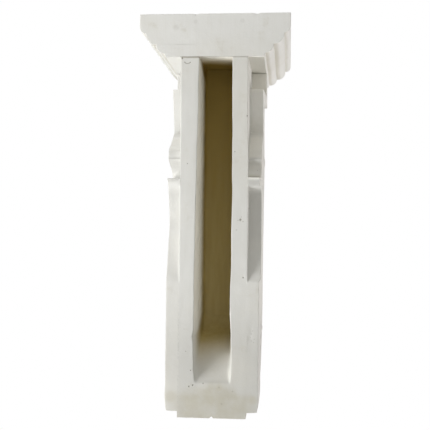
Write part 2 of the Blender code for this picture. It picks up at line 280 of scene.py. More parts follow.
def clean(mesh):
    """Merges points that fell together, turns faces outwards, shades all but the ends smooth."""
    sharp = math.radians(48)
    bm = bmesh.new()
    bm.from_mesh(mesh)
    bmesh.ops.remove_doubles(bm, verts=bm.verts, dist=2e-6)
    bmesh.ops.dissolve_degenerate(bm, edges=bm.edges, dist=1e-7)
    bmesh.ops.recalc_face_normals(bm, faces=bm.faces)
    bm.to_mesh(mesh)
    bm.free()
    mesh.shade_smooth()
    mesh.set_sharp_from_angle(angle=sharp)
    for face in mesh.polygons:
        face.use_smooth = face.loop_total <= 4


def ripple(grid, seed, amount, length):
    """Soft unevenness of a cast face: eight waves through space in seeded directions."""
    rng = np.random.default_rng(seed)
    total = np.zeros(grid.shape[:2])
    for _ in range(8):
        direction = rng.normal(size=3)
        direction /= np.linalg.norm(direction)
        own_length = length * rng.uniform(0.6, 1.6)
        total += np.sin(grid @ direction * 2 * np.pi / own_length + rng.uniform(0, 6.28))
    return amount * total / math.sqrt(8)


square_post = as_grid(np.array([[(0, 0), (1, 0), (1, 1), (0, 1)]] * 2), np.array([1, 0]))
print("a square post's first corner faces", grid_normals(square_post)[0, 0].round(2))

# %% [markdown]
# The cap is a slab with a moulded edge. A plasterer runs such a moulding with a zinc template, so
# it is a profile carried along a path: down the template go a flat fascia, a shallow cavetto, a
# small fillet and two ovolos. The path is a rectangle, and each level of the template sets it in a
# little more on three sides, which mitres the corners by itself. The side at the wall stays flat.

# %% The cap's template
CAP_LOW, CAP_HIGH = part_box("cap")
CAP_WIDTH = CAP_HIGH[0] - CAP_LOW[0]
CAP_DEPTH = CAP_HIGH[1] - CAP_LOW[1]
CAP_HEIGHT = CAP_HIGH[2] - CAP_LOW[2]
JOINT_Z = CAP_LOW[2]
CAVETTO = (0.0067, 0.0095)
FILLET = (0.0020, 0.0012)
UPPER_OVOLO = (0.0134, 0.0149)
LOWER_OVOLO = (0.0112, 0.0123)
QUIRK_RUN = 0.0010
FOOT = (0.0027, 0.0050)
FOOT_WEAR = (0.0004, 0.0008)
EDGE_WEAR = 0.0009


def quarter(start, run, drop, steps):
    """Quarter ellipse that leaves straight down and ends level: start + (run(1-cos), -drop sin)."""
    a = np.linspace(0, np.pi / 2, steps + 1)[1:]
    return np.stack([start[0] + run * (1 - np.cos(a)), start[1] - drop * np.sin(a)], axis=1)


def template():
    """(inset, height over the joint) points down the moulding, with a worn top and foot edge."""
    fascia_foot = CAVETTO[1] + FILLET[1] + UPPER_OVOLO[1] + LOWER_OVOLO[1] + FOOT[1]
    a = np.linspace(0, np.pi / 2, 4)
    top = np.stack([EDGE_WEAR * (1 - np.sin(a)), CAP_HEIGHT - EDGE_WEAR * (1 - np.cos(a))], axis=1)
    fascia = np.linspace([0, CAP_HEIGHT - 2 * EDGE_WEAR], [0, fascia_foot], 14)
    parts = [top, fascia, quarter(fascia[-1], *CAVETTO, 9)]
    step = parts[-1][-1] + [FILLET[0], -FILLET[1]]
    parts += [np.linspace(parts[-1][-1], step, 3)[1:], quarter(step, *UPPER_OVOLO, 15)]
    step = parts[-1][-1] + [QUIRK_RUN, 0]
    parts += [np.linspace(parts[-1][-1], step, 3)[1:], quarter(step, *LOWER_OVOLO, 13)]
    foot = parts[-1][-1] + [FOOT[0], -FOOT[1]]
    worn = [foot[0] - FOOT_WEAR[0], foot[1] + FOOT_WEAR[1]]
    parts += [np.linspace(parts[-1][-1], worn, 5)[1:], [foot]]
    return np.concatenate(parts)


TEMPLATE = template()
CAP_FOOT_INSET = float(TEMPLATE[-1, 0])
print("moulding sets the cap in by", round(CAP_FOOT_INSET * 1000, 1), "mm")

# %% [markdown]
# The template gives the clean form. The real cap has been knocked about: its top edge at the back
# has two small chips, and the edge of the moulding wanders by a few tenths of a millimetre. The
# chips are placed by their pixels in the photograph, and they move points of the grid.

# %% Build the cap
# Chips in the top edge: pixel, reach along the edge, depth
TOP_CHIPS = (((196, 14.0), 0.0026, 0.0009), ((257, 12.8), 0.0030, 0.0012))
CHIP_REACH_IN = 0.004
CHIP_REACH_DOWN = 0.0035
TEMPLATE_WANDER = 0.00022
CAP_RIPPLE = 0.00012
QUIRK_LEVELS = (FOOT[1], FOOT[1] + LOWER_OVOLO[1], CAP_HEIGHT - 0.0275)
QUIRK_SHADE_WIDTH = 0.0011
CAP_BACK_STEPS = 76
CAP_SIDE_STEPS = 84
CAP_FRONT_STEPS = 44


def cap_grid():
    """Rectangles set in by the template, each half from the back's middle to the front's."""
    inset, height = TEMPLATE.T
    half = CAP_WIDTH / 2 - inset
    depth = CAP_DEPTH - inset
    zero = np.zeros_like(inset)
    halves = []
    for seed in (3, 8):
        uneven = wander(height, seed, TEMPLATE_WANDER, 0.035)
        corners = [(zero, zero), (half + uneven, zero), (half, depth), (zero, depth)]
        counts = [CAP_BACK_STEPS, CAP_SIDE_STEPS, CAP_FRONT_STEPS]
        halves.append(rounded_chain(corners, [0.0007, 0.0010], counts))
    grid = as_grid(closed_ring(*halves), JOINT_Z + height)
    inside = np.ones(grid.shape[:2])
    inside[[0, -1]] = 0
    grid += grid_normals(grid) * (ripple(grid, 21, CAP_RIPPLE, 0.06) * inside)[..., None]
    for (px, py), width, depth in TOP_CHIPS:
        spot = on_back(px, py)
        near = bump_at(grid[..., 0] - spot[0], width) * bump_at(grid[..., 1], CHIP_REACH_IN)
        near *= bump_at(grid[..., 2] - (JOINT_Z + CAP_HEIGHT), CHIP_REACH_DOWN)
        grid[..., 2] -= depth * near
        grid[..., 1] -= 0.4 * depth * near
    return grid


def cap_quirk_shade(grid):
    """Painted shade in the quirks between the mouldings: a bell curve about each one's height."""
    height = grid[..., 2] - JOINT_Z
    crease_shade = np.zeros(grid.shape[:2])
    for level in QUIRK_LEVELS:
        crease_shade = np.maximum(crease_shade, bump_at(height - level, QUIRK_SHADE_WIDTH))
    off_the_wall = grid[..., 1] < -0.0006
    return crease_shade * off_the_wall


cap_surface = cap_grid()
cap = skin("cap_casting", cap_surface, cap_quirk_shade(cap_surface))
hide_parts("cap")
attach(cap, "root")

# %% [markdown]
# The bracket is a console: its front swings out under the cap and runs back in to the foot. It
# could be cut from a block as a carver would, but then each edge would need its own bevel. In plan,
# each level has the same corners in the same order: leaf, channel, rim, cheek, rebate, rail,
# hollow. Going down, only their places change, so every size is a function of the drop beneath
# the joint. The sizes repeat those of the solid, which this skin stands for.

# %% The bracket's sizes and lines
BODY_LOW, BODY_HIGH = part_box("bracket")
HEIGHT = JOINT_Z - BODY_LOW[2]
SCROLL_DEPTH = 0.219
CORE_HALF = 0.0935 / 2
CHEEK_HALF = CORE_HALF + 0.0172
NECK_HALF = CAP_WIDTH / 2 - CAP_FOOT_INSET - 0.0010
NECK_FRONT = -BODY_LOW[1]
NECK_HEIGHT = 0.0355
NECK_BACK = 0.120
FOOT_DROP = HEIGHT - 0.0090
LEDGE_DRAFT = 0.0015
FOOT_DRAFT = 0.0006
CHEEK_FLARE = 0.0009
CHEEK_TUCK = 0.0015
FLARE_LENGTH = 0.035
FOOT_SPREAD = 0.0004
LEVEL_PITCH = 0.00205
LEDGE_SHARES = (0.3335, 0.3415)
# The cheeks' front, top to foot: share of the height, share of the scroll's depth
FRONT_LINE = (
    (0.000, 0.895), (0.097, 0.890), (0.185, 0.950), (0.296, 1.000), (0.400, 0.941), (0.510, 0.868),
    (0.640, 0.795), (0.760, 0.735), (0.835, 0.655), (0.895, 0.470), (0.940, 0.292), (1.000, 0.119),
)
# The cheeks' lobed back edge in the same shares: top, low end, and how far it bows between.
# The last one marks the start of the long lobe, which has a line of its own on each side.
LOBE_STRETCHES = (
    ((0.0745, 0.215), (0.197, 0.301), -0.008),
    ((0.197, 0.301), (0.258, 0.064), 0.012),
    ((0.258, 0.064), (0.287, 0.042), -0.006),
    ((0.287, 0.042), (0.3345, 0.274), 0.040),
    ((0.3395, 0.022), (0.624, 0.000), 0.000),
)
LEFT_LONG_LOBE = (
    (0.3395, 0.022), (0.372, 0.036), (0.400, 0.066), (0.430, 0.103), (0.460, 0.121),
    (0.490, 0.111), (0.520, 0.085), (0.567, 0.044), (0.600, 0.015), (0.624, 0.000),
)
RIGHT_LONG_LOBE = (
    (0.3395, 0.014), (0.346, 0.031), (0.355, 0.053), (0.372, 0.079), (0.400, 0.100),
    (0.430, 0.112), (0.460, 0.121), (0.490, 0.113), (0.520, 0.091), (0.567, 0.056), (0.592, 0.034),
    (0.610, 0.015), (0.624, 0.000),
)
# A back edge nearer the wall than this counts as not undercut
NO_LOBE = 0.0015
# Hand-cut differences of the lobes: drop, reach up and down, and how much deeper
LEFT_LOBE_TRIMS = ((0.185, 0.022, 0.0045), (0.075, 0.020, 0.0030), (0.1675, 0.006, -0.0090))
RIGHT_LOBE_TRIMS = ((0.136, 0.013, 0.0020), (0.1645, 0.0145, -0.0440))
LEFT_INNER_TRIM = (0.166, 0.014, -0.0240)
RIGHT_INNER_TRIM = (0.1645, 0.013, -0.0100)


def front_at(drop):
    """Distance of the cheeks' front from the wall."""
    return SCROLL_DEPTH * smooth_line(FRONT_LINE, drop / HEIGHT)


def lobes_at(drop, left, inner=False):
    """Distance of a cheek's back edge from the wall: lines with a sine bow, trimmed by hand.

    The inner edge, against the rail, is less undercut below the third lobe than the outer one.
    """
    shares, depths = [], []
    for (top, top_back), (low, low_back), bow in LOBE_STRETCHES:
        t = np.linspace(0, 1, 25)
        shares.append(mix(top, low, t))
        depths.append(mix(top_back, low_back, t) + bow * np.sin(np.pi * t))
    share = drop / HEIGHT
    back = np.interp(share, np.concatenate(shares), np.concatenate(depths))
    long_lobe = LEFT_LONG_LOBE if left else RIGHT_LONG_LOBE
    back = np.where(share > long_lobe[0][0], smooth_line(long_lobe, share), back)
    back = SCROLL_DEPTH * np.maximum(back, 0)
    trims = LEFT_LOBE_TRIMS if left else RIGHT_LOBE_TRIMS
    if inner:
        trims += (LEFT_INNER_TRIM if left else RIGHT_INNER_TRIM,)
    for middle, reach, deeper in trims:
        back = back + deeper * bump_at(drop - middle, reach) * (back > NO_LOBE)
    return np.maximum(back, 0)


def cheek_half_at(drop):
    """Half width over the cheeks, with a slight flare and tuck just above the foot."""
    up = np.clip((FOOT_DROP - drop) / FLARE_LENGTH, 0, 1)
    return CHEEK_HALF + CHEEK_FLARE * np.sin(np.pi * up) - CHEEK_TUCK * (1 - up) ** 2


def sides_at(drop, left):
    """(half width, back, front) of the outline: neck, then cheeks, then the drop at the foot."""
    below = step_at(drop, NECK_HEIGHT, LEDGE_DRAFT)
    half = mix(NECK_HALF, cheek_half_at(drop), below)
    back = mix(NECK_BACK, lobes_at(drop, left), below)
    front = mix(NECK_FRONT, front_at(drop), below)
    foot = step_at(drop, FOOT_DROP, FOOT_DRAFT)
    return mix(half, CORE_HALF + FOOT_SPREAD, foot), back, front


def level_drops():
    """Drops of all levels: an even pitch, and close steps where a ledge or the ends turn."""
    drops = [np.arange(0, HEIGHT, LEVEL_PITCH)]
    drops += [NECK_HEIGHT + LEDGE_DRAFT * np.linspace(-0.1, 1.1, 7)]
    drops += [FOOT_DROP + FOOT_DRAFT * np.linspace(-0.3, 1.3, 6)]
    drops += [HEIGHT * mix(*LEDGE_SHARES, np.linspace(0, 1, 9))]
    drops += [np.array([0.0004, 0.001, HEIGHT - 0.001, HEIGHT - 0.0004, HEIGHT])]
    drops = np.sort(np.concatenate(drops))
    keep = np.concatenate([[True], np.diff(drops) > 0.00012])
    return drops[keep]


DROPS = level_drops()
print("bracket has", len(DROPS), "levels over", round(HEIGHT, 4), "metres")

# %% [markdown]
# The hollow was shaped by hand around a rough former, so its two edges differ: they lean apart
# going down, and on the right the edge is worn round near the bottom. A chip shows on the left
# edge. The floor of the hollow comes forward at the foot in a curved ramp. Cutting it with a
# Boolean would leave knife edges, so it is the last stretch of each level's outline instead.

# %% The hollow in the back
HOLLOW_LENGTH = 0.449
HOLLOW_DEPTH = 0.090
HOLLOW_FLOOR_HALF = 0.0430 / 2
RAMP_RISE = 0.085
# Share of the way up the ramp, share of the full depth
RAMP_LINE = ((0, 0), (0.26, 0.18), (0.47, 0.36), (0.62, 0.58), (0.80, 0.87), (1, 1))
# Half width of the mouth at each drop, on the photograph's left and on its right
LEFT_MOUTH = (
    (0.000, 0.0211), (0.045, 0.0219), (0.088, 0.0224), (0.157, 0.0236), (0.226, 0.0247),
    (0.295, 0.0254), (0.350, 0.0256), (0.420, 0.0256), (0.449, 0.0240),
)
RIGHT_MOUTH = (
    (0.000, 0.0250), (0.100, 0.0256), (0.198, 0.0261), (0.281, 0.0257), (0.349, 0.0245),
    (0.395, 0.0262), (0.425, 0.0266), (0.449, 0.0253),
)
MOUTH_WANDER = 0.0003
EDGE_CHIP_PIXEL = (192.5, 336.5)
# Depth and reach of the chip, and of a nick that lies this far below it
EDGE_CHIP = (0.0015, 0.0045)
EDGE_NICK = (0.0006, 0.0014)
NICK_BELOW = 0.005
LEFT_EDGE_WEAR = 0.0007
RIGHT_EDGE_WEAR = 0.0004
RUBBED_WEAR = 0.0007
RUBBED_FROM = 0.325
RUBBED_FADE = 0.040


def hollow_depth_at(drop):
    """Depth of the hollow: full, then down to nothing along the ramp's line."""
    climbed = np.clip((HOLLOW_LENGTH - drop) / RAMP_RISE, 0, 1)
    return HOLLOW_DEPTH * smooth_line(RAMP_LINE, climbed)


def mouth_at(drop, left):
    """Half width of the mouth on one side, with a hand's unevenness and the chip on the left."""
    line = LEFT_MOUTH if left else RIGHT_MOUTH
    mouth = smooth_line(line, drop) + wander(drop, 31 if left else 32, MOUTH_WANDER, 0.09)
    if left:
        above = JOINT_Z - on_back(*EDGE_CHIP_PIXEL)[2] - drop
        mouth = mouth + EDGE_CHIP[0] * bump_at(above, EDGE_CHIP[1])
        mouth = mouth + EDGE_NICK[0] * bump_at(above + NICK_BELOW, EDGE_NICK[1])
    return mouth


def mouth_wear_at(drop, left):
    """Radius of the mouth's edge: small, but wide where the right edge is rubbed round."""
    if left:
        return LEFT_EDGE_WEAR + wander(drop, 33, 0.00015, 0.05)
    rubbed = RUBBED_WEAR * step_at(drop, RUBBED_FROM, RUBBED_FADE)
    return RIGHT_EDGE_WEAR + wander(drop, 34, 0.00015, 0.05) + rubbed


# %% [markdown]
# The front and the sides are hidden in the photograph, so their carving follows what such a
# console usually has, kept plain: a long leaf with a midrib up the front, and on each cheek a sunk
# scroll line that winds into two volutes, with flutes that run from the lobes. Each is a distance
# field: a point's distance from a drawn line says how deep the gouge went there.

# %% Leaf on the front
LEAF_HALF = 0.040
LEAF_TOP = 0.135
LEAF_ROUNDING = 0.090
LEAF_LOBES = 6
LOBE_CUT = 0.30
MIDRIB_WIDTH = 0.0050
LEAF_RISE = 0.0120
LEAF_EDGE_RISE = 0.0055
CHANNEL_DEPTH = 0.0040
CHANNEL_SLOPE = 0.0022
RIM_WIDTH = 0.0146
LEAF_STEPS = 15
RIB_GROOVE = 0.0030
# Veins: where in the lobe's share one leaves the rib, how far it climbs, how deep it is cut
VEINS = ((0.10, 0.62, 0.0016), (0.42, 0.50, 0.0013), (-0.25, 0.72, 0.0013))
VEIN_WIDTH = 0.055


def lobe_phase(drop):
    """(number of lobes up from the foot, share of the way up that lobe)."""
    pitch = HEIGHT * (1 - LEAF_TOP) / LEAF_LOBES
    up = (HEIGHT - drop) / pitch
    number = np.minimum(np.floor(up), LEAF_LOBES - 1)
    return number, np.clip(up - number, 0, 1)


def leaf_half_at(drop):
    """Half width of the leaf: lobes that widen upwards under a round-topped outline."""
    rounding = np.clip((drop / HEIGHT - LEAF_TOP) / LEAF_ROUNDING, 0, 1)
    envelope = LEAF_HALF * np.sqrt(1 - (1 - rounding) ** 2)
    fullness = np.sin(np.pi / 2 * np.minimum(1, lobe_phase(drop)[1] * 1.15))
    return envelope * (1 - LOBE_CUT * (1 - fullness))


def leaf_section(drop, front):
    """(x, out) across half the leaf: a crowned section, the midrib's groove and the veins.

    A vein leaves the midrib low in each lobe and climbs outwards, so its gouge is a bell curve in
    the lobe's share less a line in the distance from the midrib.
    """
    leaf = np.maximum(leaf_half_at(drop), MIDRIB_WIDTH)[:, None]
    amount = ease(leaf_half_at(drop) / (2 * LEAF_HALF * 0.30))[:, None]
    ground = (front - CHANNEL_DEPTH * step_at(drop, NECK_HEIGHT, LEDGE_DRAFT))[:, None]
    s = np.linspace(0, 1, LEAF_STEPS + 1)[None, :]
    x = leaf * s
    out = ground + amount * mix(LEAF_RISE, LEAF_EDGE_RISE, s**2.2)
    rib = bump_at(x, MIDRIB_WIDTH * 0.42)
    out = out - RIB_GROOVE * amount * rib
    phase = lobe_phase(drop)[1][:, None]
    fading = ease(s / 0.25) * ease((1.02 - s) / 0.2)
    for start, slope, depth in VEINS:
        out = out - depth * amount * bump_at(phase - start - slope * s, VEIN_WIDTH) * fading
    return np.stack([x, out], axis=-1), ground[:, 0]


# %% [markdown]
# The scroll line is one curve: a spiral in the upper volute, the band down the front edge, and a
# spiral in the lower volute. A spiral whose radius shrinks by the same share each turn looks
# right at any size. The distance from every point of the cheek to the whole curve is found at
# once, as the least distance to its short straight pieces.

# %% Scroll and flutes on the cheeks
GROOVE_DEPTH = 0.0030
GROOVE_HALF = 0.0037
BAND_WIDTH = 0.0200
# Volutes: share of the height, radius, and whether it winds up or down
UPPER_VOLUTE = (0.272, 0.062, 1)
LOWER_VOLUTE = (0.770, 0.036, -1)
UPPER_EYE = 0.0085
LOWER_EYE = 0.0055
VOLUTE_TURNS = 2.1
VOLUTE_SHRINK = 0.11
# Flutes from tip to root: share of the height, share of the scroll's depth
FLUTES = (
    ((0.095, 0.290), (0.150, 0.400)),
    ((0.285, 0.115), (0.335, 0.330)),
    ((0.375, 0.110), (0.470, 0.360)),
    ((0.500, 0.190), (0.590, 0.430)),
    ((0.640, 0.120), (0.700, 0.330)),
)
FLUTE_HALF = 0.0052


def volute(share, radius, climbs):
    """Spiral points (out, drop) about a centre behind the band: radius times exp(-shrink angle)."""
    drop = HEIGHT * share
    out = float(front_at(np.array([drop]))[0]) - BAND_WIDTH - radius
    a = np.linspace(0, VOLUTE_TURNS * 2 * np.pi, 90)[1:]
    r = radius * np.exp(-VOLUTE_SHRINK * a)
    return np.stack([out + r * np.cos(a), drop - climbs * r * np.sin(a)], axis=1), (out, drop)


def line_distance(out, drop, line):
    """Least distance from each point to a chain of straight pieces, and the share along it."""
    best = np.full(out.shape, 1.0)
    along = np.zeros(out.shape)
    last = len(line) - 1
    for i in range(last):
        a, b = line[i], line[i + 1]
        step = b - a
        t = ((out - a[0]) * step[0] + (drop - a[1]) * step[1]) / (step @ step)
        t = np.clip(t, 0, 1)
        gap = np.hypot(out - a[0] - t * step[0], drop - a[1] - t * step[1])
        nearer = gap < best
        best = np.where(nearer, gap, best)
        along = np.where(nearer, (i + t) / last, along)
    return best, along


def gouge(distance, half_width):
    """Round-bottomed cut: 1 - (d/w)^2 inside the half width, nothing outside."""
    return np.clip(1 - (distance / np.maximum(half_width, 1e-6)) ** 2, 0, 1)


def cheek_carving(out, drop):
    """Depth cut into the cheek at each point, as a share of the full groove."""
    upper, upper_eye = volute(*UPPER_VOLUTE)
    lower, lower_eye = volute(*LOWER_VOLUTE)
    band_drops = np.linspace(upper_eye[1], lower_eye[1], 24)
    band = np.stack([front_at(band_drops) - BAND_WIDTH, band_drops], axis=1)
    distance, along = line_distance(out, drop, np.concatenate([upper[::-1], band, lower]))
    width = GROOVE_HALF * mix(0.42, 1.0, np.sqrt(np.sin(np.pi * np.clip(along, 0, 1))))
    cut = gouge(distance, width)
    for tip, root in FLUTES:
        t = np.linspace(0, 1, 12)
        line = np.stack(
            [SCROLL_DEPTH * mix(tip[1], root[1], t), HEIGHT * mix(tip[0], root[0], t * t)], axis=1
        )
        distance, along = line_distance(out, drop, line)
        width = FLUTE_HALF * np.maximum(0.06, np.sin(np.pi * np.clip(along, 0, 1) ** 0.62))
        cut = np.maximum(cut, gouge(distance, width))
    for (eye_out, eye_drop), radius in ((upper_eye, UPPER_EYE), (lower_eye, LOWER_EYE)):
        eye = np.hypot(out - eye_out, drop - eye_drop)
        cut = cut - 0.8 * np.sqrt(np.clip(1 - (eye / radius) ** 2, 0, 1))
    return cut


# %% [markdown]
# Now the levels are put together. Each half of the bracket is a chain of corners with its own
# rounding, and the two halves differ by what the hand did: the core stands in or out a little, the
# hollow's floor is narrower on one side, and one back edge flares.

# %% Half of an outline
# The right cheek's back edge stands out a little, down to just above the foot
BACK_EDGE_FLARE = 0.0022
FLARE_STOP = FOOT_DROP - 0.010
# Uneven by hand: how far the core's sides and the lobes' edges wander
CORE_WANDER = 0.00020
LOBE_WANDER = 0.0004
# The core's sides stand a little in on the left, and out on the right below the neck
LEFT_CORE_OUT = -0.0006
RIGHT_CORE_OUT = 0.0014
CORE_FROM, CORE_FADE = 0.080, 0.060
# The hollow's floor is narrower on the left, and low down wider on the right
LEFT_FLOOR_OUT = -0.0015
RIGHT_FLOOR_OUT = 0.0021
FLOOR_FROM, FLOOR_FADE = 0.350, 0.040
LEAST_WALL_DRAFT = 0.0005
# Rounding of the first seven corners, from the leaf's channel to the rail's outer edge
RING_RADII = (0.0006, 0.0010, 0.0010, 0.0030, 0.0005, 0.0008, 0.0006)
FLOOR_RADIUS = 0.0040
CHEEK_STEPS = 80
# Steps along slope, ground, slope, rim, cheek, lobe, rebate, rail, wall and floor
RUN_COUNTS = (2, 3, 2, 3, CHEEK_STEPS, 8, 7, 13, 9, 4)


def half_outline(drop, left):
    """One half's outline at all levels, and the columns at which the cheek begins and ends."""
    half, back, front = sides_at(drop, left)
    leaf, ground = leaf_section(drop, front)
    squeeze = np.where(drop > FOOT_DROP, half / cheek_half_at(drop), 1.0)
    leaf[..., 0] *= squeeze[:, None]
    edge = leaf[:, -1]
    rim = (CHEEK_HALF - RIM_WIDTH) * squeeze
    core = CORE_HALF + wander(drop, 41 if left else 42, CORE_WANDER, 0.12)
    core_out = LEFT_CORE_OUT if left else RIGHT_CORE_OUT * step_at(drop, CORE_FROM, CORE_FADE)
    core = np.minimum(core + core_out, half - 0.0002)
    flare = BACK_EDGE_FLARE * (drop < FLARE_STOP) * (not left)
    worn = wander(drop, 43 if left else 44, LOBE_WANDER, 0.06)
    below = step_at(drop, NECK_HEIGHT, LEDGE_DRAFT)
    inner = mix(NECK_BACK, lobes_at(drop, left, True), below)
    inner = np.maximum(inner + worn * (inner > 0.001), 0)
    back = np.maximum(back + worn * (back > 0.001), 0)
    depth = hollow_depth_at(drop)
    mouth = mouth_at(drop, left)
    widened = LEFT_FLOOR_OUT if left else RIGHT_FLOOR_OUT * step_at(drop, FLOOR_FROM, FLOOR_FADE)
    floor = np.minimum(HOLLOW_FLOOR_HALF + widened, mouth - LEAST_WALL_DRAFT)
    zero = np.zeros_like(drop)
    corners = [
        (edge[:, 0], edge[:, 1]),
        (edge[:, 0] + CHANNEL_SLOPE, ground),
        (rim - CHANNEL_SLOPE, ground),
        (rim, front),
        (half, front),
        (half + flare * (back > NO_LOBE), back),
        (core, inner),
        (core, zero),
        (mouth, zero),
        (floor, depth),
        (zero, depth),
    ]
    radii = [*RING_RADII, mouth_wear_at(drop, left), FLOOR_RADIUS]
    chain = rounded_chain(corners, radii, RUN_COUNTS)
    before_cheek = LEAF_STEPS + sum(RUN_COUNTS[:4]) + 4 * ARC_STEPS
    outline = np.concatenate([leaf[:, :-1], chain], axis=1)
    return outline, slice(before_cheek, before_cheek + CHEEK_STEPS + 1)


print("half an outline has", half_outline(DROPS, True)[0].shape[1], "points")

# %% [markdown]
# The two halves are joined into rings and the cheeks are carved. Then the whole skin is handled:
# its faces are made a little uneven along their normals, and small dents are pressed into the rails
# where the photograph shows them.

# %% Carve and handle the bracket
BROAD_RIPPLE = 0.00016
FINE_RIPPLE = 0.00007
# Dents in the rails: pixel, reach across, reach up and down, depth
DENTS = (
    ((187.0, 61.8), 0.0042, 0.0010, 0.0007),
    ((251.5, 331.0), 0.0012, 0.0050, 0.0005),
    ((250.0, 338.5), 0.0022, 0.0030, 0.0006),
    ((182.3, 57.6), 0.0013, 0.0013, 0.0016),
)


def bracket_grid():
    """Grid of the bracket, and how deep each point was carved."""
    left, cheek = half_outline(DROPS, True)
    right, _ = half_outline(DROPS, False)
    grid = as_grid(closed_ring(left, right), JOINT_Z - np.maximum(DROPS, 0.0003))
    carved = np.zeros(grid.shape[:2])
    drop = np.broadcast_to(DROPS[:, None], grid.shape[:2])
    below_neck = ease((DROPS - NECK_HEIGHT - LEDGE_DRAFT) / 0.002)[:, None]
    above_foot = ease((FOOT_DROP - DROPS - 0.002) / 0.002)[:, None]
    for part in (cheek, opposite(cheek, grid.shape[1])):
        out = -grid[:, part, 1]
        cut = cheek_carving(out, drop[:, part]) * below_neck * above_foot
        grid[:, part, 0] -= np.sign(grid[:, part, 0]) * GROOVE_DEPTH * cut
        carved[:, part] = np.clip(cut, 0, 1)
    return grid, carved


def handle(grid):
    """Unevenness along the normals, and the dents pressed into the flat of the back."""
    inside = ease(np.minimum(DROPS, HEIGHT - DROPS) / 0.004)[:, None]
    uneven = ripple(grid, 51, BROAD_RIPPLE, 0.09) + ripple(grid, 52, FINE_RIPPLE, 0.022)
    grid += grid_normals(grid) * (uneven * inside)[..., None]
    flat = grid[..., 1] > -0.0025
    for (px, py), wide, tall, depth in DENTS:
        spot = on_back(px, py)
        press = bump_at(grid[..., 0] - spot[0], wide) * bump_at(grid[..., 2] - spot[2], tall)
        grid[..., 1] -= depth * press * flat
    return grid


bracket_surface, carved = bracket_grid()
bracket_surface = handle(bracket_surface)
print("deepest cut", round(GROOVE_DEPTH * float(carved.max()) * 1000, 1), "mm")

# %% [markdown]
# Painted light and shade change the paint along the lobes' backs, on the left cheek and low on one
# wall of the hollow: lighter paint stands for light, mostly on the right lobes in the rail's
# shadow, and darker paint for shade on other stretches of the lobes, on the left cheek, which faces
# the key, and on the wall. A material can't tell those places apart by their coordinates alone, but
# the grid knows its columns, so each point carries its own share of it.

# %% Painted light and shade
# Painted light and shade on the lobes' backs and on the hollow's wall by the rubbed edge: drop,
# share. A positive share is darker paint, painted shade; a negative share is lighter paint, painted
# light.
LEFT_PAINTED_SHADING = (
    (0.040, 0.60), (0.104, 0.60), (0.107, -0.10), (0.1375, -0.10), (0.1395, 0.75), (0.152, 0.55),
    (0.172, 0.80), (0.190, 0.85), (0.205, 0.60), (0.229, 0.50), (0.250, -0.20),
)
RIGHT_PAINTED_SHADING = (
    (0.030, -1.0), (0.038, -1.0), (0.042, -0.40), (0.100, -0.40), (0.107, -1.0), (0.138, -1.0),
    (0.141, 0.40), (0.146, 0.30), (0.151, -0.60), (0.1695, -0.60), (0.1708, 0.95), (0.180, 0.85),
    (0.188, 0.75), (0.245, 0.40), (0.260, 0.0),
)
# Painted shade on the left cheek, which faces the key, and low on the hollow's right wall
CHEEK_PAINTED_SHADE = 0.55
WALL_PAINTED_SHADE = ((0.340, 0.0), (0.390, 1.0))


def painted_shading_at(shape, cheek, lobe, wall):
    """Painted light and shade of each point: left cheek, both cheeks' back edges, the hollow's
    right wall low down.
    """
    painted_shading = np.zeros(shape)
    painted_shading[:, cheek] = CHEEK_PAINTED_SHADE * step_at(DROPS, NECK_HEIGHT, 0.004)[:, None]
    lobe_right, wall_right = opposite(lobe, shape[1]), opposite(wall, shape[1])
    for part, line in ((lobe, LEFT_PAINTED_SHADING), (lobe_right, RIGHT_PAINTED_SHADING), (wall_right, WALL_PAINTED_SHADE)):
        painted_shading[:, part] = np.interp(DROPS, *np.array(line).T)[:, None]
    return painted_shading


run_starts = np.cumsum([LEAF_STEPS] + [count + ARC_STEPS for count in RUN_COUNTS])
shaded_runs = [slice(run_starts[i], run_starts[i] + RUN_COUNTS[i] + 1) for i in (4, 5, 8)]
painted_shading = painted_shading_at(carved.shape, *shaded_runs)
# The print counts the points that carry painted light and shade
print(round(float((painted_shading != 0).mean()), 2), "of the bracket's points carry dust or fresh paint")

# %% [markdown]
# The photograph shows one small notch in the foot's underside. It crosses the level outlines, so
# here a Boolean is the simpler way: a three-sided bar is taken away from the finished skin.

# %% Notch the foot and stand the bracket in
NOTCH_X = -0.0004
NOTCH_HALF = 0.005
NOTCH_RISE = 0.0028


def notch_foot(piece):
    """Cuts a small V along the middle of the foot's underside, with a three-sided bar."""
    low, high = -NOTCH_RISE, NOTCH_RISE
    ends = [(NOTCH_X - NOTCH_HALF, low), (NOTCH_X + NOTCH_HALF, low), (NOTCH_X, high)]
    points = [(x, y, JOINT_Z - HEIGHT + z) for y in (0.010, -SCROLL_DEPTH) for x, z in ends]
    mesh = bpy.data.meshes.new("Notch bar")
    faces = [(2, 1, 0), (3, 4, 5), (4, 3, 0, 1), (5, 4, 1, 2), (3, 5, 2, 0)]
    mesh.from_pydata(points, [], faces)
    bar = put_in_scene("Notch bar", mesh)
    cut = piece.modifiers.new("Notch", "BOOLEAN")
    cut.operation = "DIFFERENCE"
    cut.solver = "EXACT"
    cut.object = bar
    finished = piece.evaluated_get(bpy.context.evaluated_depsgraph_get())
    cut_mesh = bpy.data.meshes.new_from_object(finished)
    piece.modifiers.clear()
    piece.data = cut_mesh
    bpy.data.objects.remove(bar)


# The carving's depth also sets the painted shade in its grooves
bracket = skin("bracket_casting", bracket_surface, carved, painted_shading)
notch_foot(bracket)
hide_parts("bracket")
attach(bracket, "root")

# %% [markdown]
# One paint covers both castings, but it isn't one colour. It is a touch warmer in broad patches,
# yellow-grey with dirt at the foot, and it only reaches part of the way into the hollow, where the
# bare casting is brown. All of this reads Object coordinates, in metres, so it stays put however
# the corbel is turned. Small helpers keep the node trees short: one adds a node and sets its
# values, a few do arithmetic, and one turns a range of values into 0 to 1. A socket knows its own
# tree, so only a node that has no neighbour yet has to be told where it goes.

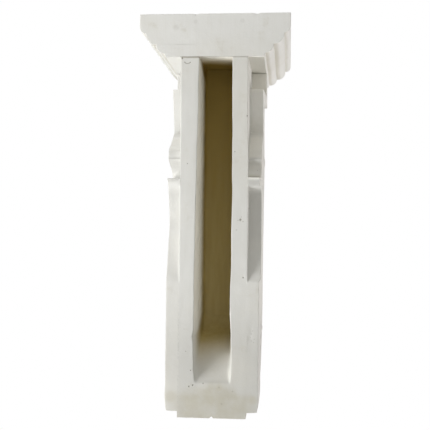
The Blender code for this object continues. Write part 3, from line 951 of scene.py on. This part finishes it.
# %% Helpers for materials
def new_material(name, roughness):
    """Material with its node tree and its main shader."""
    material = bpy.data.materials.new(name)
    material.use_nodes = True
    shader = material.node_tree.nodes["Principled BSDF"]
    shader.inputs["Roughness"].default_value = roughness
    return material, material.node_tree, shader


def add_node(near, kind, inputs=None, **settings):
    """New node in a tree, or in the tree of a socket, with its settings, values and links."""
    tree = near.id_data
    node = tree.nodes.new(kind)
    for key, value in settings.items():
        setattr(node, key, value)
    for key, value in (inputs or {}).items():
        if isinstance(value, bpy.types.NodeSocket):
            tree.links.new(value, node.inputs[key])
        else:
            node.inputs[key].default_value = value
    return node


def maths(operation, a, b=0.0):
    """Result of one arithmetic step on a socket and a number, or on two sockets."""
    near = a if isinstance(a, bpy.types.NodeSocket) else b
    return add_node(near, "ShaderNodeMath", {0: a, 1: b}, operation=operation).outputs[0]


def times(*factors):
    """Product of all the sockets and numbers."""
    product = factors[0]
    for factor in factors[1:]:
        product = maths("MULTIPLY", product, factor)
    return product


def plus(*terms):
    """Sum of all the sockets and numbers."""
    total = terms[0]
    for term in terms[1:]:
        total = maths("ADD", total, term)
    return total


def grade(start, end, share):
    """start where share is 0, end where it is 1: share (end - start) + start."""
    return plus(times(share, end - start), start)


def off(axis, middle):
    """Distance along one axis from a middle: |axis - middle|."""
    return maths("ABSOLUTE", plus(axis, -middle))


def ramp(value, low, high):
    """0 below low, 1 above high, with soft ends; low may be the larger of the two."""
    inputs = {"Value": value, "From Min": low, "From Max": high}
    node = add_node(value, "ShaderNodeMapRange", inputs, interpolation_type="SMOOTHSTEP")
    return node.outputs["Result"]


def noise(place, scale, detail=3.0, roughness=0.55):
    """Cloudy 0 to 1 noise; scale is in waves a metre."""
    inputs = {"Vector": place, "Scale": scale, "Detail": detail, "Roughness": roughness}
    return add_node(place, "ShaderNodeTexNoise", inputs).outputs["Fac"]


def streaks(place, squash, scale, detail):
    """Noise drawn out along Z, because its Z is squashed to this share first."""
    tall = add_node(place, "ShaderNodeMapping", {"Vector": place, "Scale": (1.0, 1.0, squash)})
    return noise(tall.outputs[0], scale, detail)


def blend(share, a, b):
    """Colour a where share is 0, b where it is 1."""
    a, b = (c if isinstance(c, bpy.types.NodeSocket) else (*c, 1) for c in (a, b))
    node = add_node(share, "ShaderNodeMix", {"Factor": share, 6: a, 7: b}, data_type="RGBA")
    return node.outputs[2]


def spots(place, marks):
    """1 at each marked pixel's point of the back, fading out over its radius."""
    total = 0.0
    for px, py, radius in marks:
        inputs = {0: place, 1: tuple(on_back(px, py))}
        gap = add_node(place, "ShaderNodeVectorMath", inputs, operation="DISTANCE")
        total = maths("MAXIMUM", ramp(gap.outputs["Value"], radius, radius * 0.35), total)
    return total


# %% [markdown]
# Bubbles in the mix leave pits in the face of a casting, and handling leaves scuffs. The ones that
# the photograph shows are placed by their pixels, as spheres about a point of the back. The small
# ones come from a Voronoi pattern: a pit sits in a cell only if the cell's random colour is high,
# so they fall unevenly, as bubbles do. Painting them on an image would need a file and an unwrap.

# %% Colours and marks
PAINT = (0.805, 0.800, 0.772)
WARM_PAINT = (0.765, 0.745, 0.680)
CAP_PAINT = (0.860, 0.855, 0.830)
DULL_PAINT = (0.655, 0.648, 0.618)
DIRT_AND_SHADE = (0.560, 0.520, 0.410)
FOOT_DIRT = (0.570, 0.545, 0.462)
JOINT_DIRT = (0.330, 0.290, 0.220)
UNDER_CAP_SHADE = (0.640, 0.630, 0.570)
# Lighter paint that stands for light: painted light on the hollow's walls and in the shaded right
# recess
FILL_LIGHT_PAINT = (0.950, 0.930, 0.870)
BARE_TOP = (0.325, 0.220, 0.042)
BARE_LOW = (0.470, 0.370, 0.150)
PIT_SHADE = (0.270, 0.250, 0.200)
# Marks: pixel across, pixel down, radius in metres
PITS = (
    (240.6, 219.7, 0.0021), (247.4, 115.8, 0.0014), (187.5, 163.5, 0.0010), (243.2, 277.5, 0.0012),
    (189.0, 386.3, 0.0015), (192.8, 385.0, 0.0013), (203.2, 383.3, 0.0012), (190.7, 370.2, 0.0011),
    (182.4, 57.9, 0.0021), (235.0, 151.5, 0.0010), (193.4, 331.5, 0.0012), (193.5, 334.0, 0.0013),
    (193.0, 336.5, 0.0012),
)
CRESCENT = (
    (184.8, 62.2, 0.0011), (185.6, 63.0, 0.0010), (186.8, 63.4, 0.0010), (188.0, 63.4, 0.0010),
    (189.2, 63.1, 0.0010), (190.2, 62.3, 0.0011),
)
# Scuffs are marks of handling; the five near pixel x 261 are painted shade where the right cheek's
# rounded edge turns away
SCUFFS_AND_EDGE_SHADE = (
    (238.0, 220.5, 0.0013), (243.0, 221.5, 0.0015), (241.5, 217.0, 0.0011), (236.5, 230.0, 0.0014),
    (252.6, 331.0, 0.0012), (251.2, 334.0, 0.0012), (250.3, 337.5, 0.0013), (251.4, 341.0, 0.0012),
    (253.6, 342.5, 0.0012), (254.2, 339.5, 0.0011), (195.5, 14.6, 0.0018), (184.0, 329.0, 0.0010),
    (219.0, 387.5, 0.0016), (232.5, 391.5, 0.0015), (221.5, 404.0, 0.0018), (195.8, 347.5, 0.0010),
    (261.1, 298.0, 0.0011), (261.0, 304.0, 0.0014), (260.9, 310.0, 0.0016), (260.8, 316.0, 0.0016),
    (260.7, 321.0, 0.0014),
)
SMUDGES = ((176.0, 27.5, 0.0060), (195.5, 21.5, 0.0040), (242.5, 20.5, 0.0045))
FOOT_STAINS = ((170.5, 396.5, 0.011), (253.0, 400.5, 0.008), (219.0, 388.0, 0.006))
PIT_STRENGTH = 0.75
SCUFF_AND_SHADE_STRENGTH = 0.30
CRESCENT_STRENGTH = 0.88
SMUDGE_STRENGTH = 0.10
BUBBLE_CELLS = 85.0
BUBBLE_CHANCE = 0.14


def add_pits(place):
    """Bubbles' pits: small ones in one Voronoi cell of seven, and those of the photograph."""
    cells = add_node(place, "ShaderNodeTexVoronoi", {"Vector": place, "Scale": BUBBLE_CELLS})
    chance = add_node(place, "ShaderNodeSeparateColor", {0: cells.outputs["Color"]}).outputs[0]
    bubble = ramp(cells.outputs["Distance"], 0.085, 0.03)
    chosen = maths("GREATER_THAN", chance, 1 - BUBBLE_CHANCE)
    return maths("MAXIMUM", times(bubble, chosen, 0.6), spots(place, PITS))


def add_marks(place, pits):
    """The strongest of pits, scuffs with the painted edge shade, smudges and the crescent at each
    point.
    """
    marks = times(pits, PIT_STRENGTH)
    kinds = (SCUFFS_AND_EDGE_SHADE, SCUFF_AND_SHADE_STRENGTH), (SMUDGES, SMUDGE_STRENGTH), (CRESCENT, CRESCENT_STRENGTH)
    for places, strength in kinds:
        marks = maths("MAXIMUM", marks, times(spots(place, places), strength))
    return marks


# %% [markdown]
# The paint was brushed on over years of dust. One flat colour looks like plastic, so soft noise
# lays a warmer paint over it in patches, then thin smears of dirt, then painted shade in the
# carving's grooves and the mouldings' quirks, the painted light and shade that the skins carry for
# each point, and last the faint vertical lines of the brush.

# %% Paint, dirt and painted shade
DULL_FROM = -0.335
DULL_TO = -0.455
FOOT_LINE = -0.486
FOOT_FULL = -0.502
FOOT_CLOUD = 0.045
MOUND_X = -0.010
FOOT_MOUND = 0.0125
STAIN_X = -0.004


def add_paint(place, z):
    """Colour of the paint: plain, then patches, smears, painted crease shade, painted light and
    shade, and brush lines over it.
    """
    crease_shade = add_node(place, "ShaderNodeAttribute", attribute_name="crease_shade").outputs["Fac"]
    painted_shading = add_node(place, "ShaderNodeAttribute", attribute_name="painted_shading").outputs["Fac"]
    # The plain paint is lighter on the cap and darker towards the foot: painted light on the cap
    # and painted shade low down, for light that falls off down the piece
    base = blend(ramp(z, DULL_FROM, DULL_TO), PAINT, DULL_PAINT)
    base = blend(ramp(z, JOINT_Z - 0.001, JOINT_Z + 0.001), base, CAP_PAINT)
    patches = ramp(noise(place, 9.0, 4.0), 0.42, 0.68)
    smears = ramp(noise(place, 38.0, 5.0, 0.65), 0.56, 0.78)
    brushed = ramp(streaks(place, 0.08, 330.0, 3.0), 0.40, 0.75)
    colour = blend(times(patches, 0.45), base, WARM_PAINT)
    colour = blend(times(smears, 0.28), colour, DIRT_AND_SHADE)
    # Painted shade in the carving's grooves and the mouldings' quirks
    colour = blend(times(crease_shade, 0.45), colour, DIRT_AND_SHADE)
    # A positive share darkens the paint as painted shade, a negative one lightens it as painted
    # light
    colour = blend(painted_shading, colour, DULL_PAINT)
    colour = blend(times(painted_shading, -1.0), colour, FILL_LIGHT_PAINT)
    return blend(times(brushed, 0.05), colour, DIRT_AND_SHADE)


def add_foot_dirt(place, x, z, colour):
    """Yellow-grey dirt on the foot, with a ragged upper edge that mounds up under the hollow."""
    cloud = noise(place, 22.0, 5.0, 0.6)
    mound = times(ramp(off(x, MOUND_X), 0.032, 0.008), -FOOT_MOUND)
    level = plus(z, mound, times(cloud, FOOT_CLOUD), -FOOT_CLOUD / 2)
    foot = ramp(level, FOOT_LINE, FOOT_FULL)
    patchy = ramp(noise(place, 55.0, 3.0), 0.00, 0.75)
    foot = times(foot, patchy, ramp(off(x, STAIN_X), 0.066, 0.034))
    colour = blend(foot, colour, FOOT_DIRT)
    return blend(times(spots(place, FOOT_STAINS), cloud, 0.7), colour, DIRT_AND_SHADE)


# %% [markdown]
# Inside the hollow the brush ran out of reach, and the bare casting shows brown. How far the paint
# reaches in is a depth that changes with the drop: almost nothing under the cap, most of the way
# down the long walls, and less again over the ramp. A point that lies deeper than the paint's
# reach turns brown, softly, and noise makes the edge ragged. A mask by depth follows the walls at
# any angle, where a painted band would slide off them.

# %% Bare plaster in the hollow
CEILING_REACH = 0.002
CEILING_FADE = 0.024
PAINT_REACH = 0.059
# Over the ramp the reach falls by this much, and by some more on the photograph's left
LOW_FROM = -0.384
LOW_TO = -0.428
LOW_REACH = 0.038
LEFT_REACH = 0.010
# Just under the cap the reach grows by this much on the right: paint, and a painted lit wedge on
# the ceiling
LIT_WEDGE_REACH = 0.012
RAGGED = 0.009
SOFT_HIGH = 0.075
SOFT_LONG = 0.038
SOFT_LOW = 0.024
LOW_FADE = 0.85


def paint_reach(x, below, low):
    """Depth that the paint reaches, from shares below the ceiling and low over the ramp, and a
    painted lit wedge under the cap on the right.
    """
    reach = grade(CEILING_REACH, PAINT_REACH, below)
    lit_wedge = times(ramp(x, 0.022, -0.032), grade(1.0, 0.0, below))
    leftwards = times(ramp(x, -0.024, 0.022), low)
    reach = plus(reach, times(lit_wedge, LIT_WEDGE_REACH))
    reach = plus(reach, times(low, -LOW_REACH))
    return plus(reach, times(leftwards, -LEFT_REACH))


def inside_hollow(x, z, depth):
    """1 inside the hollow, 0 outside: four limits multiplied."""
    narrow = maths("LESS_THAN", off(x, 0.0), CORE_HALF * 0.66)
    shallow = maths("LESS_THAN", depth, HOLLOW_DEPTH + 0.002)
    under_cap = maths("LESS_THAN", z, JOINT_Z + 0.0012)
    over_foot = maths("GREATER_THAN", z, JOINT_Z - HOLLOW_LENGTH - 0.001)
    return times(narrow, shallow, under_cap, over_foot)


def add_hollow(place, axes, colour):
    """Lighter paint on the hollow's walls as painted light, then brown: share (depth + noise -
    reach) / softness.
    """
    x, y, z = axes
    depth = times(y, -1.0)
    within = inside_hollow(x, z, depth)
    below = ramp(z, JOINT_Z, JOINT_Z - CEILING_FADE)
    low = ramp(z, LOW_FROM, LOW_TO)
    ragged = times(plus(noise(place, 30.0, 5.0), -0.5), RAGGED)
    reach = paint_reach(x, below, low)
    past = maths("SUBTRACT", plus(depth, ragged), reach)
    softness = plus(grade(SOFT_HIGH, SOFT_LONG, below), times(low, SOFT_LOW))
    bare = ramp(maths("DIVIDE", past, softness), -0.15, 0.80)
    # The bare brown is darker towards the cap: painted shade under the cap
    brown = blend(ramp(z, -0.04, -0.40), BARE_TOP, BARE_LOW)
    runs = ramp(streaks(place, 0.12, 150.0, 4.0), 0.30, 0.70)
    brown = blend(times(runs, 0.30), brown, BARE_TOP)
    # Painted light: the hollow's walls take the lighter paint, less of it over the ramp
    fill_light = times(ramp(depth, 0.0004, 0.004), within)
    fill_light_fade = grade(1.0, 1 - LOW_FADE, low)
    colour = blend(times(fill_light, fill_light_fade), colour, FILL_LIGHT_PAINT)
    return blend(times(bare, within), colour, brown)


# %% [markdown]
# Cap and bracket are two castings set one on the other, and dust has settled in the joint between
# them. It is too thin to model, so it is a band of dark paint about the joint's height, darker on
# the left as in the photograph. The cap's underside beside the right rail is darkened with painted
# shade.

# %% Dirt in the joint, painted shade under the cap, and the whole paint
JOINT_LINE_DROP = 0.0007
JOINT_RIGHT = 0.22
JOINT_LEFT = 0.60
UNDERSIDE_BAND = 0.0011


def add_joint_line(axes, colour):
    """Dark band over the rails at the joint, and painted shade under the cap beside the right rail.
    """
    x, y, z = axes
    line = ramp(off(z, JOINT_Z - JOINT_LINE_DROP), 0.0017, 0.0006)
    near = ramp(y, -0.005, -0.002)
    rails = maths("LESS_THAN", off(x, 0.0), CORE_HALF + 0.001)
    inputs = {"Value": x, "From Min": -0.01, "From Max": 0.01}
    inputs |= {"To Min": JOINT_RIGHT, "To Max": JOINT_LEFT}
    side = add_node(x, "ShaderNodeMapRange", inputs).outputs[0]
    colour = blend(times(line, near, rails, side), colour, JOINT_DIRT)
    level = maths("LESS_THAN", off(z, JOINT_Z), UNDERSIDE_BAND)
    beside = maths("LESS_THAN", x, -CORE_HALF)
    behind_neck = maths("GREATER_THAN", y, -NECK_BACK - 0.001)
    under = times(level, beside, ramp(y, -0.001, -0.008), behind_neck)
    return blend(under, colour, UNDER_CAP_SHADE)


def painted_plaster():
    """One matt material: paint, dirt, hollow, joint and marks, and a bump of grain and pits."""
    material, tree, shader = new_material("Painted plaster", 0.58)
    shader.inputs["Specular IOR Level"].default_value = 0.35
    place = add_node(tree, "ShaderNodeTexCoord").outputs["Object"]
    x, y, z = add_node(tree, "ShaderNodeSeparateXYZ", {0: place}).outputs
    pits = add_pits(place)
    colour = add_paint(place, z)
    colour = add_foot_dirt(place, x, z, colour)
    colour = add_hollow(place, (x, y, z), colour)
    colour = add_joint_line((x, y, z), colour)
    colour = blend(add_marks(place, pits), colour, PIT_SHADE)
    tree.links.new(colour, shader.inputs["Base Color"])
    grain = times(noise(place, 520.0, 3.0), 0.00010)
    casting = times(noise(place, 60.0, 4.0), 0.00055)
    height = plus(grain, casting, times(pits, -0.0009))
    inputs = {"Height": height, "Distance": 1.0, "Strength": 0.8}
    bump = add_node(tree, "ShaderNodeBump", inputs)
    tree.links.new(bump.outputs["Normal"], shader.inputs["Normal"])
    return material


plaster = painted_plaster()
for piece in (cap, bracket):
    piece.data.materials.clear()
    piece.data.materials.append(plaster)

# %% [markdown]
# The photograph was taken against white, with soft light from the camera's left that comes mostly
# from below the corbel's middle, and white all round that fills the shadows. Two wide area lights
# on the left give the first, one low and one high, because their balance sets how dark the lobes'
# upper and lower flanks are. A third behind the right edge lights the mouldings there. A pale sky
# and floor give the white. The floor lies well below: a corbel hangs on its wall.

# %% Floor, sky and lights
FLOOR_DROP = 0.80
SKY_STRENGTH = 0.445
SKY_COLOUR = (1.0, 0.990, 0.940)
FLOOR_HALF = 30.0
FLOOR_COLOUR = (0.85, 0.85, 0.84)
KEY_COLOUR = (0.985, 0.992, 1.0)
RIM_COLOUR = (1.0, 0.96, 0.97)
WHITE = {"Color": (1, 1, 1, 1), "Strength": 1.0}
MIDDLE = Vector((0.0, -0.10, -0.25))


def add_floor():
    """Wide pale floor that the camera sees as white, marked as no part of the object."""
    mesh = bpy.data.meshes.new("Floor")
    z = cad_low[2] - FLOOR_DROP
    signs = ((-1, -1), (1, -1), (1, 1), (-1, 1))
    corners = [(FLOOR_HALF * a, FLOOR_HALF * b, z) for a, b in signs]
    mesh.from_pydata(corners, [], [(0, 1, 2, 3)])
    floor = put_in_scene("Floor", mesh)
    material, tree, shader = new_material("Pale floor", 0.9)
    shader.inputs["Base Color"].default_value = (*FLOOR_COLOUR, 1)
    white = add_node(tree, "ShaderNodeEmission", WHITE)
    seen = add_node(tree, "ShaderNodeLightPath").outputs["Is Camera Ray"]
    inputs = {0: seen, 1: shader.outputs[0], 2: white.outputs[0]}
    both = add_node(tree, "ShaderNodeMixShader", inputs)
    tree.links.new(both.outputs[0], tree.nodes["Material Output"].inputs["Surface"])
    mesh.materials.append(material)


def add_sky():
    """Even pale sky: what the camera sees is white, and what lights the corbel is softer."""
    world = bpy.data.worlds.new("Pale sky")
    world.use_nodes = True
    tree = world.node_tree
    tree.nodes.clear()
    seen = add_node(tree, "ShaderNodeBackground", WHITE)
    inputs = {"Color": (*SKY_COLOUR, 1), "Strength": SKY_STRENGTH}
    cast = add_node(tree, "ShaderNodeBackground", inputs)
    path = add_node(tree, "ShaderNodeLightPath")
    inputs = {0: path.outputs["Is Camera Ray"], 1: cast.outputs[0], 2: seen.outputs[0]}
    both = add_node(tree, "ShaderNodeMixShader", inputs)
    add_node(tree, "ShaderNodeOutputWorld", {"Surface": both.outputs[0]})
    bpy.context.scene.world = world


def add_area(name, place, size, watts, colour):
    """Square soft light that faces the middle of the corbel."""
    data = bpy.data.lights.new(name, "AREA")
    data.shape = "SQUARE"
    data.size = size
    data.energy = watts
    data.color = colour
    light = put_in_scene(name, data)
    light.location = place
    light.rotation_euler = (MIDDLE - Vector(place)).to_track_quat("-Z", "Y").to_euler()
    light.visible_camera = False


add_floor()
add_sky()
add_area("Low key", (1.102, 0.536, -1.045), 0.8, 17.3, KEY_COLOUR)
add_area("High key", (0.973, 0.417, 0.439), 0.5, 5.8, KEY_COLOUR)
add_area("Rim", (-1.648, -1.052, -1.138), 1.0, 25.7, RIM_COLOUR)
bpy.context.scene.view_settings.view_transform = "Standard"
